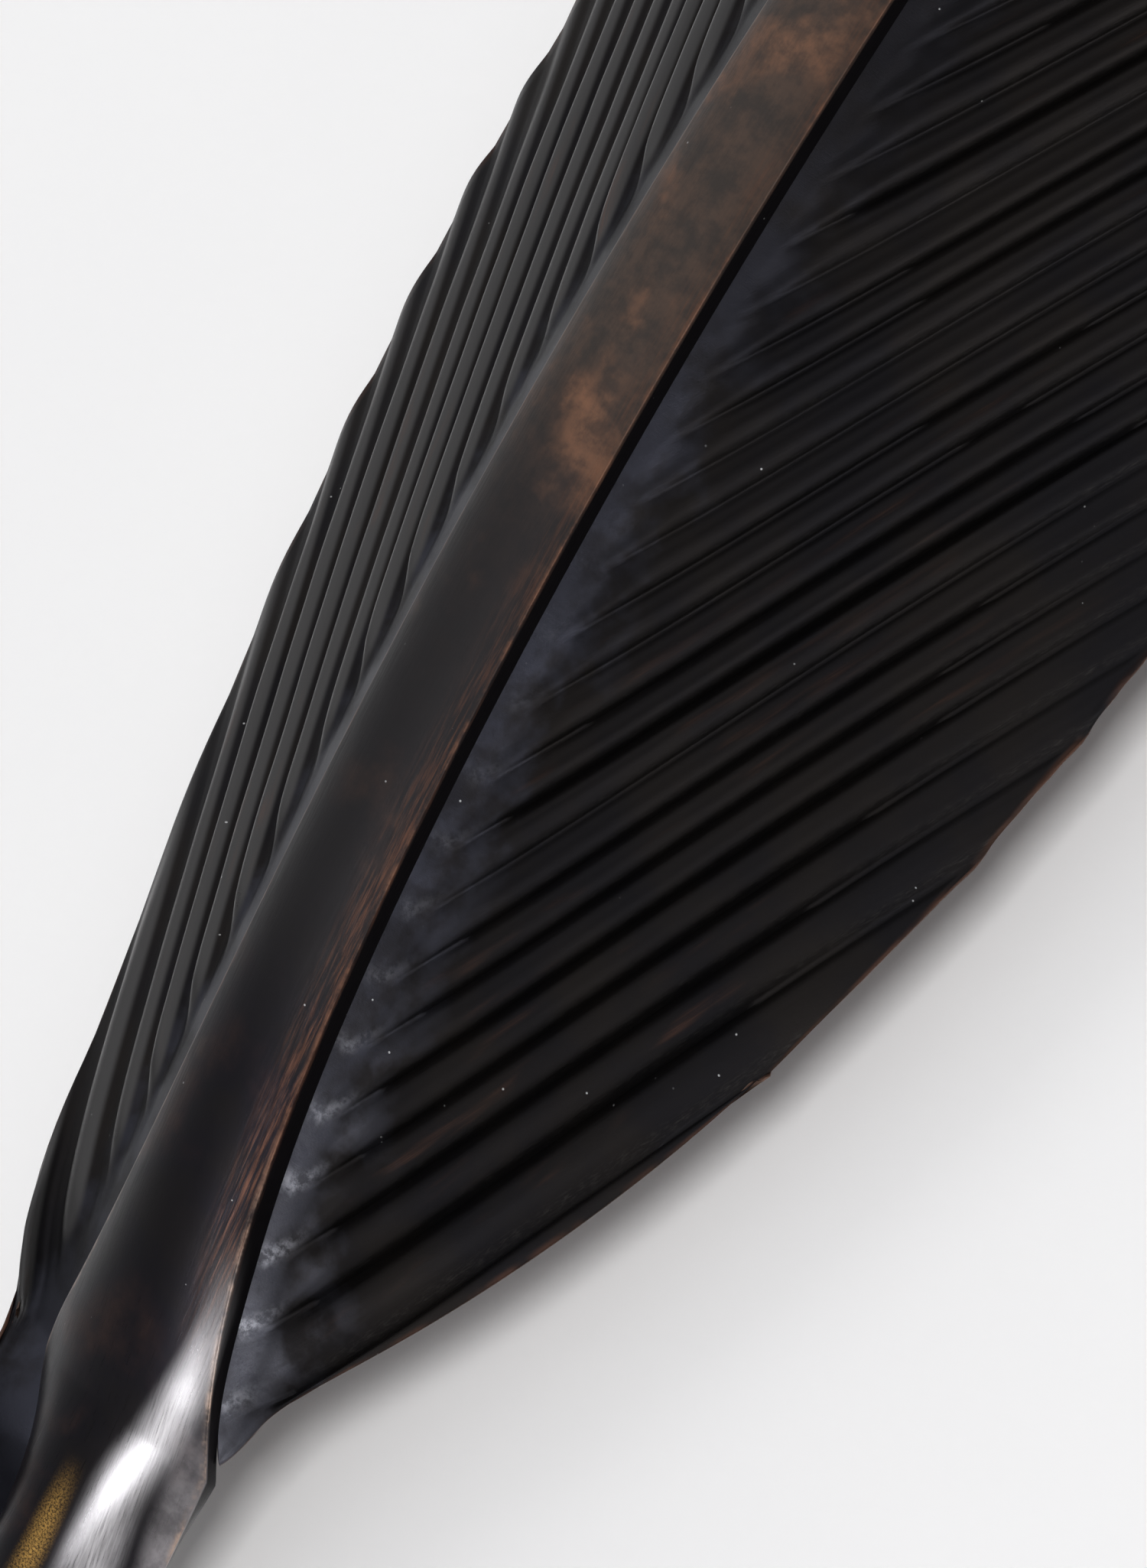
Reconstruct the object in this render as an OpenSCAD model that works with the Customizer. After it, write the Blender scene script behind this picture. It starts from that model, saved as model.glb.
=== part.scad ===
// Wall-hung formed copper leaf on two standoffs.
// +Z runs up the leaf to its tip, the leaf faces -Y, and the wall is the plane y = 0.
// The origin is the centre of the upper flange's back face. All lengths are in mm.

/* [Blade] */
// Length of the blade from its base to its tip
blade_l = 1000; // [940:10:1060]
// Developed half width the right outline tends to
right_w = 172.7; // [165:0.1:180]
// Developed half width the left outline tends to
left_w = 178.2; // [170:0.1:184]
// Length over which the right outline opens out
right_open = 189.6; // [180:0.2:200]
// Length over which the left outline opens out
left_open = 304; // [290:2:320]
// Length over which both outlines reach their full width
full_open = 486; // [460:2:510]
// How far below the right half the left half begins
left_lead = 94.4; // [88:0.1:100]
// How late the outline narrows to the tip
tip_power = 3.46; // [3:0.02:3.8]
// Sheet thickness
sheet_t = 1; // [0.8:0.1:1.2]

/* [Form] */
// Distance of the fold line from the wall at the blade's base
fold_gap = 62; // [60:1:70]
// Height of the arch along the fold line
arch_h = 68.1; // [60:0.1:75]
// Sideways sweep of the fold line
sway = 102; // [80:1:120]
// Where the sideways sweep turns, as a share of the blade's length
sway_at = 0.3; // [0.25:0.01:0.35]
// Droop of each half at the fold line, in degrees
droop = 44.4; // [43:0.1:46]
// How much flatter the right half is at its margin, in degrees
flare = 41.7; // [36:0.1:44]
// How much flatter the left half becomes just outside the band, in degrees
left_turn = 11; // [9:0.5:13]
// How much flatter still the left half is at its margin, in degrees
left_flare = 9; // [6:0.5:12]
// Extra lift of the left half at the base, in degrees
base_lift = 79; // [70:1:82]
// Length over which that lift dies away
lift_l = 37; // [32:1:42]
// How far the right half rises to meet the side of the band at the base
apron_rise = 6.5; // [5:0.5:7]
// Extra width of the right half at its base
tongue_w = 12; // [10:0.5:13]

/* [Pleats] */
// Pleat pitch along the fold line on the right half
right_pitch = 18.4; // [17.5:0.1:19.5]
// Pleat pitch along the fold line on the left half
left_pitch = 23.7; // [22.5:0.1:24.5]
// Height of a pleat above its mean surface
pleat_h = 1.6; // [1:0.1:2]
// Bare strip between the midrib band and the start of the pleats on the right half
bare_strip = 11; // [9:1:13]
// The same strip on the left half
left_bare_strip = 26; // [22:1:28]
// Advance along the right half for each unit outwards, where a pleat starts
vein_start = 1.46; // [1.4:0.02:1.6]
// Advance along the right half for each unit outwards, near the margin
vein_end = 2.06; // [1.96:0.02:2.2]
// Advance along the left half for each unit outwards, where a pleat starts
left_vein_start = 1.6; // [1.5:0.02:1.7]
// Advance along the left half for each unit outwards, near the margin
left_vein_end = 1.8; // [1.74:0.02:1.9]
// Width over which the pleats bend from one to the other
vein_bend = 24; // [20:1:28]

/* [Midrib and stem] */
// Half width of the midrib band in the middle of the leaf
band_w = 16.5; // [15:0.1:17]
// Extra half width of the band at the base
band_extra = 38; // [36:1:40]
// Length over which the band narrows
band_narrow = 45; // [42:1:48]
// Greatest half width of the band
band_cap = 34; // [32:0.5:34]
// Radius of the rolled stem
stem_r = 22; // [21:0.5:22.5]
// Length of the stem below the blade
stem_l = 170; // [140:10:200]

/* [Wall fixings] */
// Upper fixing, measured from the base of the blade
upper_at = 620; // [600:10:660]
// Lower fixing, measured from the base of the blade
lower_at = 180; // [170:5:200]
// Flange diameter
flange_d = 50; // [46:1:56]
// Flange thickness
flange_t = 4; // [4:0.5:5]
// Bolt circle diameter of each flange
bolt_circle_d = 36; // [34:1:38]
// Wall screw hole diameter
screw_hole_d = 4.5; // [4:0.5:5]
// Spigot diameter
spigot_d = 12; // [11:0.5:12]
// Length of the spigot beyond the flange
spigot_l = 20; // [18:1:22]
// Standoff rod diameter
rod_d = 20; // [20:1:24]

/* [Output] */
// Node to build, or all

/* [Hidden] */
RIGHT = 1;
LEFT = -1;
part_gap = 0.1;          // air between two brazed neighbours
blade_top = 0.996 * blade_l; // the midrib's end
half_top = 0.99 * blade_l;  // the halves end here, where they are hardly wider than the band
least_w = 0.8;           // a half starts where it is this much wider than the strip
foot_step = 0.5;         // least distance of the bend beside the band from the inner edge
lowest_right = 30;       // the right half begins above this station
edge_lines = 2;          // lines between the right half's lowest groove and its margin
edge_step = 6;           // at the groove's end they spread over this much of the margin
edge_spread = 0.03;
right_groove = 49.5;     // first groove on the right half
left_groove = 38.7;      // first groove on the left half
lines_per_pleat = 3;
cells_out = 7;           // cells from the fold to the margin
far_out = 200;           // farther out than any margin
search_steps = 24;       // halvings in each search for a crossing
pleat_rise_l = 22;       // length over which a pleat grows to its full height
margin_fade = 0.5;       // share of its height a pleat loses at the margin
stem_ease = 30;          // length over which the stem turns parallel to the wall
apron_at = 38;           // above this station the rise of the right half dies away
apron_l = 32;            // over this length
apron_w = 25;            // width of the half that rises
tongue_at = 37;          // above this station the right half's extra width dies away
tongue_l = 18;           // over this length
scroll_half = 50;        // the strip rolls up into the stem over twice this length
scroll_seam_angle = 178; // half angle of the rolled stem, leaving an open seam
band_shoulder = 0.75;    // share of the strip's half width taken by the band's face
band_crown = 0.3;        // crown of the band, per unit of its half width
band_edge = 0.62;        // depth of the band's edges below the fold, per unit of half width
foot_lift = 0.45;        // the feet of the band stop this far above the halves
foot_splay = 0.01;       // outward splay of the feet, per unit of half width
foot_thin = 0.4;         // share of the sheet's thickness left at the feet
side_gap = 1.4;          // air between a half and the side of the stem, along the half
left_side_from = 0.3;    // the side of the strip lies beyond this share of its half width
right_side_from = 0.7;
band_cells = 24;
band_stations = 74;
base_share = 0.4;        // share of the strip's stations spent on the stem and the blade's base
base_end = 120;          // where that stretch ends
base_power = 0.8;
near_v = 0.02;           // step used to find the direction across the strip
tuck_share = 0.36;       // the halves stop short of the fold, where they meet the band's inner face:
tuck_more = 0.7;         // this share of its half width, plus the sheet, plus this much air
tuck_narrow = 7.6;       // where the band's half width is less than this, towards the tip,
tuck_tip = 0.8;          // they stop short by this share of the difference more
tuck_from = 60;
tuck_to = 120;
bar_w = 12;              // backing bar section
bar_t = 4;
bar_from = 100;
bar_to = 880;
bar_depth = 8.6;         // bar's front face behind the fold
bar_stations = 40;
saddle_w = 22;
saddle_t = 4;
saddle_half_l = 20;
saddle_stations = 6;
bore_r = spigot_d / 2 + 0.2;
bore_l = spigot_l + 4;
rod_clear = 1;           // gap between a rod's end and its flange
set_screw_r = 2.5;
set_screw_clear = 0.1;
set_screw_y = 14;        // set screw's distance from the wall
set_screw_l = rod_d / 2 - spigot_d / 2 - 2 * set_screw_clear;
hex_r = 1.45;
hex_depth = 2;
sink_d = 9;
sink_depth = 2.4;
chamfer = 0.8;
eps = 0.05;

function clamp(v, lo, hi) = min(hi, max(lo, v));
function ease(a, b, v) = let(t = clamp((v - a) / (b - a), 0, 1)) t * t * (3 - 2 * t);
function mix(a, b, k) = a + (b - a) * k;

// The fold line: the apex where the two halves would meet, at station s above the blade's base.
function sweep(s) = sway * pow(s / blade_l - sway_at, 2);
function fold_x(s) = sweep(s) - sweep(upper_at);
function fold_slope() = 4 * arch_h / blade_l;
function fold_y(s) = s >= 0
    ? -fold_gap - 4 * arch_h * (s / blade_l) * (1 - s / blade_l)
    : -fold_gap + fold_slope() * stem_ease * (1 - exp(s / stem_ease));
function fold_z(s) = s - upper_at;
function lean(s) = fold_slope() * (1 - 2 * s / blade_l);

// Half width of the band, sideways.
function band_half(s) = let(u = max(s, 0)) min(band_cap,
    band_w * (1 - pow(u / (1.05 * blade_l), 4)) + band_extra * exp(-u / band_narrow));

// Rise of the right half towards the band, where it touches it.
function apron(s, side) = side == RIGHT ? apron_rise * exp(-pow(max(0, s - apron_at) / apron_l, 2)) : 0;

// How far the strip has opened from the rolled stem to the flat band: 0 to 1.
function unroll(s) = ease(-scroll_half, scroll_half, s);

// Section of the strip at station s, as [sideways, depth behind the fold], for v from -1 to 1.
function stem_section(v) = [stem_r * sin(scroll_seam_angle * v), stem_r * (1 - cos(scroll_seam_angle * v))];
function band_section(s, v) = let(
    b = band_half(s),
    a = abs(v),
    k = min(1, a / band_shoulder),
    drop = max(0, (a - band_shoulder) / (1 - band_shoulder)),
    edge = band_edge * b,
    foot = b * tan(droop) - apron(s, sign(v)) - foot_lift)
    [sign(v) * b * (k + foot_splay * drop), edge - band_crown * b * (1 - k * k) + (foot - edge) * drop];
function strip_section(s, v) = mix(stem_section(v), band_section(s, v), unroll(s));

// Where a half meets the side of the strip, as a developed distance from the fold.
function side_v(s, side, lo, hi, n) = let(m = (lo + hi) / 2, p = strip_section(s, side * m))
    n == 0 ? m : p[1] > side * p[0] * tan(droop) - apron(s, side) ? side_v(s, side, lo, m, n - 1)
    : side_v(s, side, m, hi, n - 1);
function foot_u(s, side) = let(from = side == LEFT ? left_side_from : right_side_from)
    side * strip_section(s, side * side_v(s, side, from, 1, search_steps))[0] / cos(droop) + side_gap;

// Developed half width of each half at station s.
function half_w(s, side) = let(
    u = max(0, s + (side == LEFT ? left_lead : 0)),
    open = side == LEFT ? left_open : right_open,
    full = side == LEFT ? left_w : right_w,
    t = clamp(s / blade_l, 0, 1))
    full * (1 - exp(-u / open - pow(u / full_open, 2))) * (1 - pow(t, tip_power))
    + (side == RIGHT ? tongue_w * exp(-pow(max(0, s - tongue_at) / tongue_l, 2)) : 0);

// Local droop of a half, in degrees, at developed distance u from the fold.
function far_droop(s, side) = droop - (side == LEFT ? left_turn + base_lift * exp(-max(s, 0) / lift_l) : 0);
function far_flare(side) = side == LEFT ? left_flare : flare;
function flat_w(s, side) = max(least_w, half_w(s, side) - foot_u(s, side));
function half_droop(s, u, side) = u < foot_u(s, side) ? droop
    : far_droop(s, side) - far_flare(side) * pow(min(1, (u - foot_u(s, side)) / flat_w(s, side)), 2);

// Point on a half's front face before pleating.
function half_point(s, u, side) = let(
    u1 = min(u, foot_u(s, side)),
    v = u - u1,
    far = far_droop(s, side),
    c = far_flare(side) * PI / 180 * pow(v, 3) / (3 * pow(flat_w(s, side), 2)),
    out = cos(droop) * u1 + cos(far) * v + sin(far) * c,
    back = sin(droop) * u1 + sin(far) * v - cos(far) * c - apron(s, side) * (1 - ease(0, apron_w, v)))
    [fold_x(s) + side * out, fold_y(s) + back, fold_z(s)];
function half_normal(s, u, side) = let(d = half_droop(s, u, side)) [side * sin(d), -cos(d), 0];

// Inner edge of a half: tucked under the band, or against the side of the stem near the base.
function tuck_u(s) = let(b = band_half(s), short = max(0, tuck_narrow - b))
    min(b, tuck_share * b + sheet_t + tuck_more + tuck_tip * short) / cos(droop);
function inner_u(s, side) = mix(foot_u(s, side), tuck_u(s), ease(tuck_from, tuck_to, s));

// A pleat line: how far up the leaf it has run when it is x beyond its start.
function vein_run(x, side) = let(
    from = side == LEFT ? left_vein_start : vein_start,
    to = side == LEFT ? left_vein_end : vein_end)
    to * x - (to - from) * vein_bend * (1 - exp(-x / vein_bend));
function bend_u(s, side) = max(foot_u(s, side), inner_u(s, side) + foot_step);
function vein_start_u(s, side) = max(band_half(s) + (side == LEFT ? left_bare_strip : bare_strip),
    bend_u(s, side) + foot_step);
// Where a pleat line crosses the margin, between x = inside, on the half, and x = outside, beyond it.
function vein_cross(s, side, u, inside, outside, n) = let(m = (inside + outside) / 2)
    n == 0 ? m
    : half_w(s + vein_run(m, side), side) > u + m ? vein_cross(s, side, u, m, outside, n - 1)
    : vein_cross(s, side, u, inside, m, n - 1);

// Lowest station of a half.
function base_station(side, lo, hi, n) = let(m = (lo + hi) / 2)
    n == 0 ? hi : half_w(m, side) > foot_u(m, side) + least_w ? base_station(side, lo, m, n - 1)
    : base_station(side, m, hi, n - 1);
left_base = base_station(LEFT, -left_lead, 0, search_steps);
right_base = base_station(RIGHT, lowest_right, left_lead, search_steps);

function pleat_shape(phase) = 1 - 2 * pow(abs(cos(180 * phase)), 3);

// One line of [station, developed distance, pleat height] from the inner edge to the margin.
function vein_point(s, u, x, end, h, side) =
    [s + vein_run(x, side), u + x, h * ease(0, pleat_rise_l, x) * (1 - margin_fade * x / end)];
function blade_line(s, side) = let(
    ui = inner_u(s, side),
    us = vein_start_u(s, side),
    w = half_w(s, side),
    pitch = side == LEFT ? left_pitch : right_pitch,
    first = side == LEFT ? left_groove : right_groove,
    h = pleat_h * pleat_shape((s - first) / pitch),
    x1 = w <= us ? 0 : vein_cross(s, side, us, 0, far_out, search_steps))
    w <= us
    ? [for (j = [0 : cells_out]) [s, mix(ui, w, j / cells_out), 0]]
    : concat([[s, ui, 0], [s, bend_u(s, side), 0]],
        [for (j = [0 : cells_out - 2]) vein_point(s, us, x1 * j / (cells_out - 2), x1, h, side)]);

// Lines between the lowest groove on the right, at share 0, and the margin below it, at share 1.
function edge_line(share) = let(
    groove = blade_line(right_groove, RIGHT),
    end = groove[cells_out][0])
    [for (j = [0 : cells_out]) let(
        g = groove[j],
        k = mix((g[0] - right_groove) / (end - right_groove), j / cells_out, edge_spread),
        s = mix(right_base, end - edge_step, k))
        mix(g, [s, half_w(s, RIGHT), 0], share)];

function blade_stations(side) = let(
    pitch = (side == LEFT ? left_pitch : right_pitch) / lines_per_pleat,
    first = side == LEFT ? left_groove : right_groove,
    lo = side == LEFT ? ceil((left_base + 1 - first) / pitch) : 0,
    hi = floor((half_top - 1 - first) / pitch))
    concat(side == LEFT ? [left_base] : [], [for (k = [lo : hi]) first + k * pitch], [half_top]);
function blade_lines(side) = concat(
    side == LEFT ? [] : [for (k = [0 : edge_lines - 1]) edge_line(1 - k / edge_lines)],
    [for (s = blade_stations(side)) blade_line(s, side)]);

// A closed sheet between two grids of points of the same size.
module sheet(front, back) {
    rows = len(front);
    cols = len(front[0]);
    n = rows * cols;
    points = concat([for (r = front) for (p = r) p], [for (r = back) for (p = r) p]);
    faces = concat(
        [for (i = [0 : rows - 2]) for (j = [0 : cols - 2]) let(a = i * cols + j)
            each [[a, a + cols, a + cols + 1], [a, a + cols + 1, a + 1]]],
        [for (i = [0 : rows - 2]) for (j = [0 : cols - 2]) let(a = n + i * cols + j)
            each [[a, a + cols + 1, a + cols], [a, a + 1, a + cols + 1]]],
        [for (i = [0 : rows - 2]) let(a = i * cols, b = i * cols + cols - 1)
            each [[a, n + a, n + a + cols], [a, n + a + cols, a + cols],
                  [b, b + cols, n + b + cols], [b, n + b + cols, n + b]]],
        [for (j = [0 : cols - 2]) let(a = j, b = (rows - 1) * cols + j)
            each [[a, a + 1, n + a + 1], [a, n + a + 1, n + a],
                  [b, n + b, n + b + 1], [b, n + b + 1, b + 1]]]);
    polyhedron(points = points, faces = faces, convexity = 10);
}

function blade_face(side, back) = [for (line = blade_lines(side)) [for (q = line)
    half_point(q[0], q[1], side) + half_normal(q[0], q[1], side) * (q[2] - back)]];

module blade(side) {
    a = blade_face(side, 0);
    b = blade_face(side, sheet_t);
    if (side == RIGHT) sheet(a, b);
    else sheet(b, a);
}

module left_blade() color("#2b2729") blade(LEFT);
module right_blade() color("#1f1c1f") blade(RIGHT);

function strip_tangent(s, v) = let(d = strip_section(s, v + near_v) - strip_section(s, v - near_v)) d / norm(d);
function strip_point(s, v, in) = let(
    p = strip_section(s, v),
    t = strip_tangent(s, v),
    depth = abs(v) < 1 ? in : in * mix(1, foot_thin, unroll(s)),
    q = p + depth * [-t[1], t[0]])
    [fold_x(s) + q[0], fold_y(s) + q[1], fold_z(s)];

// Stations are closer together where the strip rolls up.
function strip_station(i) = let(k = i / band_stations)
    k < base_share ? mix(-stem_l, base_end, pow(k / base_share, base_power))
    : mix(base_end, blade_top, (k - base_share) / (1 - base_share));

function strip_face(in) = [for (i = [0 : band_stations]) [for (j = [0 : band_cells])
    strip_point(strip_station(i), 2 * j / band_cells - 1, in)]];

module midrib() color("#3a302b") sheet(strip_face(sheet_t), strip_face(0));

// A flat bar of width w that follows the fold line between two stations.
module follow_bar(from, to, w, front, t, n) sheet(
    [for (i = [0 : n]) let(s = mix(from, to, i / n)) [for (x = [-w / 2, w / 2])
        [fold_x(s) + x, fold_y(s) + front + t, fold_z(s)]]],
    [for (i = [0 : n]) let(s = mix(from, to, i / n)) [for (x = [-w / 2, w / 2])
        [fold_x(s) + x, fold_y(s) + front, fold_z(s)]]]);

module backing_bar() color("#4a3f38") follow_bar(bar_from, bar_to, bar_w, bar_depth, bar_t, bar_stations);

function saddle_front() = bar_depth + bar_t + part_gap;
module saddle(at) color("#4a3f38")
    follow_bar(at - saddle_half_l, at + saddle_half_l, saddle_w, saddle_front(), saddle_t, saddle_stations);
module upper_saddle() saddle(upper_at);
module lower_saddle() saddle(lower_at);

// Puts a shape drawn along +Z, from the wall, onto the fixing at a station, pointing at -Y.
module on_wall(at) translate([fold_x(at), 0, fold_z(at)]) rotate([90, 0, 0]) children();

// Standoff rod: blind bore for the spigot, side hole for the set screw, mitred where it meets the saddle.
module standoff(at) {
    rod_from = flange_t + rod_clear;
    rod_to = -(fold_y(at) + saddle_front() + saddle_t + 2 * part_gap);
    on_wall(at) difference() {
        translate([0, 0, rod_from]) cylinder(h = rod_to + rod_d / 2 - rod_from, d = rod_d, $fn = 64);
        translate([0, 0, rod_from - eps]) cylinder(h = bore_l - rod_clear + eps, r = bore_r, $fn = 64);
        translate([0, 0, rod_from - eps])
            cylinder(h = chamfer + eps, r1 = bore_r + chamfer + eps, r2 = bore_r, $fn = 64);
        translate([0, 0, set_screw_y]) rotate([90, 0, 0])
            cylinder(h = rod_d, r = set_screw_r + set_screw_clear, $fn = 48);
        translate([0, 0, rod_to]) rotate([atan(lean(at)), 0, 0])
            translate([-rod_d, -rod_d, 0]) cube([2 * rod_d, 2 * rod_d, rod_d]);
    }
}
module upper_standoff() color("#8c7350") standoff(upper_at);
module lower_standoff() color("#8c7350") standoff(lower_at);

// Wall flange with its spigot and three countersunk holes.
module flange(at) on_wall(at) difference() {
    union() {
        cylinder(h = flange_t - chamfer, d = flange_d, $fn = 96);
        translate([0, 0, flange_t - chamfer])
            cylinder(h = chamfer, d1 = flange_d, d2 = flange_d - 2 * chamfer, $fn = 96);
        cylinder(h = flange_t + spigot_l - chamfer, d = spigot_d, $fn = 64);
        translate([0, 0, flange_t + spigot_l - chamfer])
            cylinder(h = chamfer, d1 = spigot_d, d2 = spigot_d - 2 * chamfer, $fn = 64);
    }
    for (a = [90, 210, 330]) rotate([0, 0, a]) translate([bolt_circle_d / 2, 0, 0]) {
        translate([0, 0, -eps]) cylinder(h = flange_t + 2 * eps, d = screw_hole_d, $fn = 48);
        translate([0, 0, flange_t - sink_depth])
            cylinder(h = sink_depth + eps, d1 = screw_hole_d, d2 = sink_d, $fn = 48);
    }
}
module upper_flange() color("#8c7350") flange(upper_at);
module lower_flange() color("#8c7350") flange(lower_at);

// Set screw under the rod, with a hexagon socket, its tip just clear of the spigot.
module set_screw(at) on_wall(at) translate([0, -spigot_d / 2 - set_screw_clear, set_screw_y])
    rotate([90, 0, 0]) difference() {
        cylinder(h = set_screw_l, r = set_screw_r, $fn = 48);
        translate([0, 0, set_screw_l - hex_depth]) cylinder(h = hex_depth + eps, r = hex_r, $fn = 6);
    }
module upper_set_screw() color("#303236") set_screw(upper_at);
module lower_set_screw() color("#303236") set_screw(lower_at);

left_blade();
right_blade();
midrib();
backing_bar();
upper_saddle();
lower_saddle();
upper_standoff();
lower_standoff();
upper_flange();
lower_flange();
upper_set_screw();
lower_set_screw();
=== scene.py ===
"""Looks for the wall-hung copper leaf: three formed sheets with a dark patina, on two brass standoffs."""

import math

import bpy
import numpy as np
from mathutils import Matrix
from mathutils import Vector


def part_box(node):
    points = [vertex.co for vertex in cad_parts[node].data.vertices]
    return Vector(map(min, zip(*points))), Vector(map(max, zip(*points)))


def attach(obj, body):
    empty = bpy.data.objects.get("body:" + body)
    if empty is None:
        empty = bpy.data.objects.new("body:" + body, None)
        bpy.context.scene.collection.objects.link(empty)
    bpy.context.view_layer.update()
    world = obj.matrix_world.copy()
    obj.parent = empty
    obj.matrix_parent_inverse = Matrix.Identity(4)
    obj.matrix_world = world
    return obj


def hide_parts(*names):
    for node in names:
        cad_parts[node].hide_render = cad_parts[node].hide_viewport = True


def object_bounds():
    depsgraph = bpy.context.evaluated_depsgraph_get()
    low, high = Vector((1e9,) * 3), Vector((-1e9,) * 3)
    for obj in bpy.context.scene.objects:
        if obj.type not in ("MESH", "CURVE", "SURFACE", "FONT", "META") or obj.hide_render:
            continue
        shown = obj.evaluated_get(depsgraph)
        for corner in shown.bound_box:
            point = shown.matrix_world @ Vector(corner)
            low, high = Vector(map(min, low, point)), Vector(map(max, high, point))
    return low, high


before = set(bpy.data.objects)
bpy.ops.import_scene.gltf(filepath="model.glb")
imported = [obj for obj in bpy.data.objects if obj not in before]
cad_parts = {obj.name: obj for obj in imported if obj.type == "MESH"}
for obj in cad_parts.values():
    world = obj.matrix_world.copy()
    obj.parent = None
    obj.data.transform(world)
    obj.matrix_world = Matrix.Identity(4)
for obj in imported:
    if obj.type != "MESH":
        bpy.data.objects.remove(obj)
cad_low, cad_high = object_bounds()

# ---------------------------------------------------------------------------------------------
# Driving dimensions, in mm. Stations run up the leaf from the base of the blade, where they are 0.
# ---------------------------------------------------------------------------------------------
BLADE_L = 1000
STEM_L = 170
BLADE_TOP = 0.996 * BLADE_L
HALF_TOP = 0.99 * BLADE_L
UPPER_AT = 620
SHEET = 1.0

RIGHT = 1
LEFT = -1

FOLD_GAP = 62
ARCH = 68.1
SWAY = 102
SWAY_AT = 0.3
STEM_EASE = 30
DROOP = math.radians(44.4)
FLARE = {RIGHT: math.radians(41.7), LEFT: math.radians(9)}
TURN = {RIGHT: 0, LEFT: math.radians(11)}
BASE_LIFT = math.radians(79)
LIFT_L = 37

FULL_W = {RIGHT: 172.7, LEFT: 178.2}
OPEN_L = {RIGHT: 189.6, LEFT: 304}
LEAD = {RIGHT: 0, LEFT: 94.4}
FULL_L = 486
TIP_POWER = 3.46

BAND_W = 16.5
BAND_EXTRA = 38
BAND_NARROW = 45
BAND_CAP = 34
BAND_SHOULDER = 0.75
BAND_CROWN = 0.3
BAND_EDGE = 0.62
FOOT_LIFT = 0.45
APRON_RISE = 6.5
APRON_AT = 38
APRON_L = 32
APRON_W = 25
TONGUE_W = 12
TONGUE_AT = 37
TONGUE_L = 18
FOOT_SPLAY = 0.01
STEM_R = 22
SEAM_ANGLE = math.radians(178)
SCROLL_HALF = 50
SIDE_GAP = 0.35
SIDE_FROM = {RIGHT: 0.7, LEFT: 0.3}
BRAZED = 1.4

PITCH = {RIGHT: 18.4, LEFT: 23.7}
FIRST_GROOVE = {RIGHT: 49.5, LEFT: 38.7}
BARE_STRIP = {RIGHT: 11, LEFT: 26}
VEIN_START = {RIGHT: 1.46, LEFT: 1.6}
VEIN_END = {RIGHT: 2.06, LEFT: 1.8}
VEIN_BEND = 24
LEAST_W = 0.8
EDGE_STEP = 6
EDGE_SPREAD = 0.03
BASE_BETWEEN = {RIGHT: (30, 94.4), LEFT: (-94.4, 0)}
TUCK_SHARE = 0.36
TUCK_MORE = 0.7
TUCK_FROM = 60
TUCK_TO = 120
FAR_OUT = 200

# How finely the halves are meshed: lines for each pleat below and above a station, rows in the right
# half's lowest corner, and points on each line before and after the pleats begin.
LINES_NEAR = 15
LINES_FAR = 12
NEAR_TOP = 430
EDGE_ROWS = 14
FLANGE_COLS = 12
VEIN_COLS = 56
VEIN_CROWDING = 1.45

# The frame gives the unit and the place of the leaf: the strip spans the whole height of the part,
# and the fold line stands over the upper flange, whose back face is on the wall.
strip_low, strip_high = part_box("midrib")
flange_low, flange_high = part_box("upper_flange")
UNIT = (strip_high.z - strip_low.z) / (BLADE_TOP + STEM_L)
WALL_Y = flange_high.y
FIXING_X = (flange_low.x + flange_high.x) / 2
FIXING_Z = (flange_low.z + flange_high.z) / 2


# ---------------------------------------------------------------------------------------------
# Small helpers on arrays
# ---------------------------------------------------------------------------------------------
def ease(a, b, v):
    t = np.clip((v - a) / (b - a), 0, 1)
    return t * t * (3 - 2 * t)


def mix(a, b, k):
    return a + (b - a) * k


def bump(v, centre, width):
    return np.exp(-(((v - centre) / width) ** 2))


def wander(v, length, seed):
    """A smooth random line of v in -1..1 that turns about once every length."""
    knots = np.random.RandomState(seed).uniform(-1, 1, 512)
    place = np.asarray(v, float) / length + 100
    low = np.floor(place).astype(int)
    part = place - low
    part = part * part * (3 - 2 * part)
    return mix(knots[low % 512], knots[(low + 1) % 512], part)


def dents(a, b, length, seed):
    """A smooth random field over two arrays, in -1..1, with features of about the given length."""
    knots = np.random.RandomState(seed).uniform(-1, 1, (256, 256))
    x = a / length + 60
    y = b / length + 60
    x0 = np.floor(x).astype(int)
    y0 = np.floor(y).astype(int)
    p = x - x0
    q = y - y0
    p = p * p * (3 - 2 * p)
    q = q * q * (3 - 2 * q)
    low = mix(knots[x0 % 256, y0 % 256], knots[(x0 + 1) % 256, y0 % 256], p)
    high = mix(knots[x0 % 256, (y0 + 1) % 256], knots[(x0 + 1) % 256, (y0 + 1) % 256], p)
    return mix(low, high, q)


# ---------------------------------------------------------------------------------------------
# The form of the leaf
# ---------------------------------------------------------------------------------------------
def sweep(s):
    return SWAY * (s / BLADE_L - SWAY_AT) ** 2


def fold_x(s):
    return sweep(s) - sweep(UPPER_AT)


def fold_y(s):
    slope = 4 * ARCH / BLADE_L
    k = s / BLADE_L
    above = -FOLD_GAP - 4 * ARCH * k * (1 - k)
    below = -FOLD_GAP + slope * STEM_EASE * (1 - np.exp(np.minimum(s, 0) / STEM_EASE))
    return np.where(s >= 0, above, below)


def fold_z(s):
    return s - UPPER_AT


def band_half(s):
    u = np.maximum(s, 0)
    taper = BAND_W * (1 - (u / (1.05 * BLADE_L)) ** 4)
    return np.minimum(BAND_CAP, taper + BAND_EXTRA * np.exp(-u / BAND_NARROW))


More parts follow.
